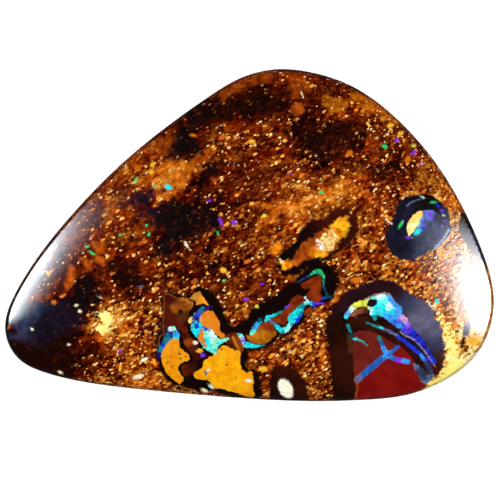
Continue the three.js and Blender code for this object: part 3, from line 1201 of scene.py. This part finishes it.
def ironstone_group(crystals):
    """Ironstone with sand cemented in it, laid in slanting beds."""
    group, given, result = new_group(
        "ironstone",
        {"Place": "Vector", "Tone": "Float", "Sand": "Float"},
        {"Color": "Color", "Height": "Float", "Rough": "Float"},
    )
    sand = given["Sand"]
    bedded = turned(group, given["Place"], BEDDING_TURN, BEDDING_STRETCH)
    value = sums(group, "MULTIPLY_ADD", sand, SAND_SHADE, given["Tone"])
    for lump in LUMPS:
        value = uneven(group, value, noise(group, bedded, lump.size, detail=5.0), sand, lump)
    for grit in GRIT:
        cells = group_node(group, crystals, {"Place": bedded, "Size": grit.size})
        value = uneven(group, value, cells["Chance"], sand, grit)
    rough = POLISH
    clear = 0.0
    hue = eased(group, noise(group, bedded, TINT_SIZE, detail=6.0), *TINT_RANGE)
    light = eased(group, given["Tone"], *DARK_GROUND, DIM_LIGHT, 1.0)
    for grain in GRAINS:
        cells = group_node(group, crystals, {"Place": bedded, "Size": grain.size})
        hidden = sums(group, "SUBTRACT", 1.0, with_sand(group, sand, grain))
        shown = sums(group, "GREATER_THAN", cells["Other Chance"], hidden)
        radius = sums(group, "MULTIPLY_ADD", cells["Chance"], GRAIN_GROWTH, GRAIN_RADIUS)
        body = eased(group, cells["Distance"], radius, sums(group, "MULTIPLY", radius, GRAIN_CORE))
        shown = sums(group, "MULTIPLY", sums(group, "MULTIPLY", shown, body), GRAIN_COVER)
        lightness = sums(group, "POWER", cells["Chance"], GRAIN_RARITY)
        lightness = sums(group, "MULTIPLY_ADD", lightness, grain.brightest - grain.dimmest, grain.dimmest)
        value = blend_values(group, shown, value, sums(group, "MULTIPLY", lightness, light))
        hue = blend_values(group, shown, hue, cells["Third Chance"])
        is_clear = sums(group, "LESS_THAN", cells["Third Chance"], grain.clear)
        clear = blend_values(group, shown, clear, is_clear)
        rough = sums(group, "MULTIPLY_ADD", shown, GRAIN_ROUGH, rough)
    tint = blend_colours(group, hue, REDDER, YELLOWER)
    stained = blend_colours(group, 1.0, ramp(group, value, IRONSTONE), tint, "MULTIPLY")
    group.links.new(blend_colours(group, clear, stained, ramp(group, value, QUARTZ)), result["Color"])
    rise = around_zero(group, noise(group, bedded, RELIEF_LUMP, detail=3.0))
    group.links.new(sums(group, "MULTIPLY", rise, sand), result["Height"])
    group.links.new(rough, result["Rough"])
    return group


class Layer(NamedTuple):
    """How a mineral lies in the stone, with sizes in millimetres."""

    ragged: float  # how far its edge wanders
    lump: float  # size of the lumps in its edge
    soft: float  # how far its edge fades
    cover: float  # how far it hides what lies below it
    crystals: bool  # its pattern is packed crystals, or else clouds
    size: float  # of the crystals or clouds
    dark: tuple  # what multiplies its colour where the pattern is darkest
    light: tuple  # and where it is lightest
    rough: float  # roughness of its polish


# The minerals in the order in which they lie over each other
LAYERS = {
    "cloud": Layer(0.8, 0.9, 0.45, 0.55, False, 0.5, (0.6, 0.6, 0.6), (1.4, 1.4, 1.4), 0.06),
    "stain": Layer(0.6, 0.6, 0.35, 0.5, False, 0.35, (0.6, 0.5, 0.3), (1.5, 1.5, 1.2), 0.07),
    "gold": Layer(0.6, 0.3, 0.15, 0.95, True, 0.22, (1.0, 0.88, 0.5), (1.05, 1.1, 1.2), 0.1),
    "rim": Layer(0.22, 0.4, 0.13, 1.0, False, 0.7, (0.75, 0.75, 0.75), (1.2, 1.2, 1.2), 0.06),
    "navy": Layer(0.08, 0.4, 0.06, 1.0, False, 0.8, (0.6, 0.6, 0.6), (1.5, 1.5, 1.5), 0.06),
    "cell": Layer(0.08, 0.3, 0.05, 1.0, False, 0.7, (0.6, 0.5, 0.4), (1.3, 1.4, 1.5), 0.07),
    "jasper": Layer(0.06, 0.3, 0.04, 1.0, False, 1.0, (0.8, 0.7, 0.7), (1.15, 1.4, 1.4), 0.07),
    "ochre": Layer(0.08, 0.25, 0.04, 1.0, False, 0.6, (0.86, 0.74, 0.5), (1.05, 1.15, 1.6), 0.14),
    "amber": Layer(0.2, 0.3, 0.14, 1.0, False, 0.4, (0.6, 0.45, 0.4), (1.3, 1.5, 2.0), 0.07),
    "sugar": Layer(0.3, 0.3, 0.1, 1.0, True, 0.17, (0.55, 0.25, 0.03), (1.1, 1.15, 1.4), 0.1),
    "opal": Layer(0.08, 0.2, 0.05, 1.0, True, 0.18, (0.5, 0.65, 0.7), (1.3, 1.25, 1.2), 0.06),
    "fleck": Layer(0.07, 0.15, 0.08, 1.0, True, 0.16, (0.86, 0.86, 0.86), (1.12, 1.12, 1.12), 0.08),
}


def new_material(name):
    material = bpy.data.materials.new(name)
    material.use_nodes = True
    return material, material.node_tree, material.node_tree.nodes["Principled BSDF"]


# How much lighter the ironstone is inside stains, and darker inside clouds
GROUND_SHIFTS = {"stain": 0.14, "cloud": -0.16}


def mineral_masks(tree, place, edge):
    """Where each mineral lies, by its name."""
    masks = {}
    for name, layer in LAYERS.items():
        border = {
            "Place": place,
            "Distance": attribute(tree, name),
            "Ragged": layer.ragged,
            "Lump": layer.lump,
            "Soft": layer.soft,
        }
        masks[name] = group_node(tree, edge, border)["Mask"]
    return masks


def polished_face(ironstone, crystals, edge):
    """The polished face: sandy ironstone, its minerals and the opal in their seams."""
    material, tree, surface = new_material("polished boulder opal")
    place = millimetres(tree)
    masks = mineral_masks(tree, place, edge)
    tone = attribute(tree, "tone")
    for name, shift in GROUND_SHIFTS.items():
        tone = sums(tree, "MULTIPLY_ADD", masks[name], shift, tone)
    ground = group_node(tree, ironstone, {"Place": place, "Tone": tone, "Sand": attribute(tree, "sand")})
    colour = ground["Color"]
    rough = ground["Rough"]
    height = ground["Height"]
    for name, layer in LAYERS.items():
        share = sums(tree, "MULTIPLY", masks[name], layer.cover)
        if layer.crystals:
            pattern = group_node(tree, crystals, {"Place": place, "Size": layer.size})["Chance"]
        else:
            pattern = eased(tree, noise(tree, place, layer.size, detail=5.0), *NOISE_RANGE)
        shade = blend_colours(tree, pattern, (*layer.dark, 1.0), (*layer.light, 1.0))
        own = blend_colours(tree, 1.0, attribute(tree, name + "_colour", "Color"), shade, "MULTIPLY")
        colour = blend_colours(tree, share, colour, own)
        rough = blend_values(tree, share, rough, layer.rough)
        height = blend_values(tree, share, height, 0.0)
    tree.links.new(colour, surface.inputs["Base Color"])
    tree.links.new(rough, surface.inputs["Roughness"])
    bump = {"Height": height, "Strength": 1.0, "Distance": RELIEF}
    tree.links.new(add(tree, "ShaderNodeBump", bump).outputs["Normal"], surface.inputs["Normal"])
    return material


LAPPED_TONE = 0.3
LAPPED_SAND = 0.4
LAPPED_ROUGH = (0.45, 0.65)
SCRATCH_TURN = 20
SCRATCH_STRETCH = (3.0, 0.1, 1.0)  # millimetres along and across the scratches
SCRATCH_BUMP = 0.3
SCRATCH_DEPTH = 0.01 * MM


def lapped_back(ironstone):
    """The underside: the same ironstone, ground flat and left dull."""
    material, tree, surface = new_material("lapped ironstone")
    place = millimetres(tree)
    ground = group_node(tree, ironstone, {"Place": place, "Tone": LAPPED_TONE, "Sand": LAPPED_SAND})
    scratches = noise(tree, turned(tree, place, SCRATCH_TURN, SCRATCH_STRETCH), 1.0, detail=4.0)
    bump = {"Height": scratches, "Strength": SCRATCH_BUMP, "Distance": SCRATCH_DEPTH}
    tree.links.new(ground["Color"], surface.inputs["Base Color"])
    tree.links.new(eased(tree, scratches, *NOISE_RANGE, *LAPPED_ROUGH), surface.inputs["Roughness"])
    tree.links.new(add(tree, "ShaderNodeBump", bump).outputs["Normal"], surface.inputs["Normal"])
    return material


# Stage, light and camera

CAMERA_HEIGHT = 0.6
SENSOR = 36.0  # millimetres across the image
LIGHT_DISTANCE = 2.0
FADE_POWER = 3.2  # how steeply a softbox fades up and down
FLOOR_SIZE = 4.0
FLOOR_GREY = 0.8
FLOOR_ROUGH = 0.9
FLOOR_GLOW = 0.4
ROOM_LIGHT = 0.02  # the room's light on the stone
ROOM_SEEN = 0.9  # the room as the camera sees it past the floor
WHITE = (1.0, 1.0, 1.0)


class Softbox(NamedTuple):
    """A soft light, with angles in degrees as seen from the stone.

    A mirrored light is seen in the polish alone, and fades from its full part to its edges. The others
    light the stone evenly and stay out of the polish.
    """

    azimuth: float
    from_zenith: float
    spread: float  # half its width
    rise: float  # half its height
    radiance: float
    colour: tuple = WHITE
    mirrored: bool = False
    full_across: float = 1.0  # share of its width that is full
    full_up: float = 1.0  # share of its height that is full
    slant: float = 0.0  # how far the full part leans
    rounding: float = 0.0  # how far the full part narrows towards its ends


SOFTBOXES = {
    "left softbox": Softbox(
        azimuth=159, from_zenith=87, spread=23, rise=45, radiance=40.0, mirrored=True,
        full_across=0.35, full_up=0.2, slant=0.176, rounding=0.15, colour=(0.82, 0.91, 1.0),
    ),
    "right softbox": Softbox(
        azimuth=-1, from_zenith=84, spread=27, rise=55, radiance=40.0, mirrored=True,
        full_across=0.35, full_up=0.4, rounding=0.25,
    ),
    "overhead fill": Softbox(azimuth=0, from_zenith=0, spread=50, rise=50, radiance=2.28),
}


def fade_out(light, box):
    """Makes a light fade from its full part to its edges."""
    light.use_nodes = True
    tree = light.node_tree
    place = add(tree, "ShaderNodeNewGeometry").outputs["Parametric"]
    from_middle = vector_sums(tree, "MULTIPLY_ADD", place, (2, 2, 0), (-1, -1, 0))
    parts = add(tree, "ShaderNodeSeparateXYZ", {0: from_middle}).outputs
    sideways = sums(tree, "ABSOLUTE", parts["Y"])
    up = sums(tree, "ABSOLUTE", sums(tree, "MULTIPLY_ADD", parts["Y"], box.slant, parts["X"]))
    up = sums(tree, "MULTIPLY_ADD", sums(tree, "POWER", sideways, 2.0), box.rounding, up)
    up = add(tree, "ShaderNodeMapRange", {"Value": up, "From Min": 1.0, "From Max": box.full_up}).outputs[0]
    across = eased(tree, sideways, 1.0, box.full_across)
    strength = sums(tree, "MULTIPLY", sums(tree, "POWER", up, FADE_POWER), across)
    tree.links.new(strength, tree.nodes["Emission"].inputs["Strength"])


def place_softbox(name, box):
    light = bpy.data.lights.new(name, "AREA")
    light.shape = "RECTANGLE"
    light.size = 2 * LIGHT_DISTANCE * tan(radians(box.rise))
    light.size_y = 2 * LIGHT_DISTANCE * tan(radians(box.spread))
    light.energy = box.radiance * pi * light.size * light.size_y
    light.color = box.colour
    if box.mirrored:
        fade_out(light, box)
    lamp = bpy.data.objects.new(name, light)
    bpy.context.scene.collection.objects.link(lamp)
    around = radians(box.azimuth)
    down = radians(box.from_zenith)
    lamp.location = (
        LIGHT_DISTANCE * sin(down) * cos(around),
        LIGHT_DISTANCE * sin(down) * sin(around),
        LIGHT_DISTANCE * cos(down),
    )
    lamp.rotation_euler = (0, down, around)
    lamp.visible_camera = False
    lamp.visible_glossy = box.mirrored
    lamp.visible_diffuse = not box.mirrored


def pale_floor():
    """A white table with a light under it. The stone's polished edge doesn't mirror it."""
    bpy.ops.mesh.primitive_plane_add(size=FLOOR_SIZE, location=(0, 0, 0))
    floor = bpy.context.object
    floor.name = "floor"
    material, _, surface = new_material("pale floor")
    surface.inputs["Base Color"].default_value = (FLOOR_GREY, FLOOR_GREY, FLOOR_GREY, 1.0)
    surface.inputs["Roughness"].default_value = FLOOR_ROUGH
    surface.inputs["Specular IOR Level"].default_value = 0.0
    surface.inputs["Emission Color"].default_value = (*WHITE, 1.0)
    surface.inputs["Emission Strength"].default_value = FLOOR_GLOW
    floor.data.materials.append(material)
    floor.visible_glossy = False
    floor.visible_shadow = False


def dim_room():
    world = bpy.data.worlds.new("room")
    bpy.context.scene.world = world
    world.use_nodes = True
    tree = world.node_tree
    background = tree.nodes["Background"]
    seen = add(tree, "ShaderNodeLightPath").outputs["Is Camera Ray"]
    tree.links.new(eased(tree, seen, 0.0, 1.0, ROOM_LIGHT, ROOM_SEEN), background.inputs["Strength"])
    background.inputs["Color"].default_value = (*WHITE, 1.0)


def camera_above():
    camera = bpy.data.cameras.new("camera")
    camera.sensor_width = SENSOR
    camera.lens = SENSOR * CAMERA_HEIGHT / (PHOTO_SIZE * PIXEL)
    holder = bpy.data.objects.new("camera", camera)
    bpy.context.scene.collection.objects.link(holder)
    middle = (PHOTO_SIZE / 2 - PHOTO_CENTRE) * PIXEL * (1, -1)
    holder.location = (middle[0], middle[1], CAMERA_HEIGHT)
    bpy.context.scene.camera = holder


stone = polished_stone()
crystals = crystals_group()
ironstone = ironstone_group(crystals)
cover(stone, polished_face(ironstone, crystals, ragged_edge_group()), lapped_back(ironstone))
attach(stone, "root")
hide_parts(STONE)

pale_floor()
dim_room()
for name, box in SOFTBOXES.items():
    place_softbox(name, box)
camera_above()
bpy.context.scene.view_settings.view_transform = "Standard"
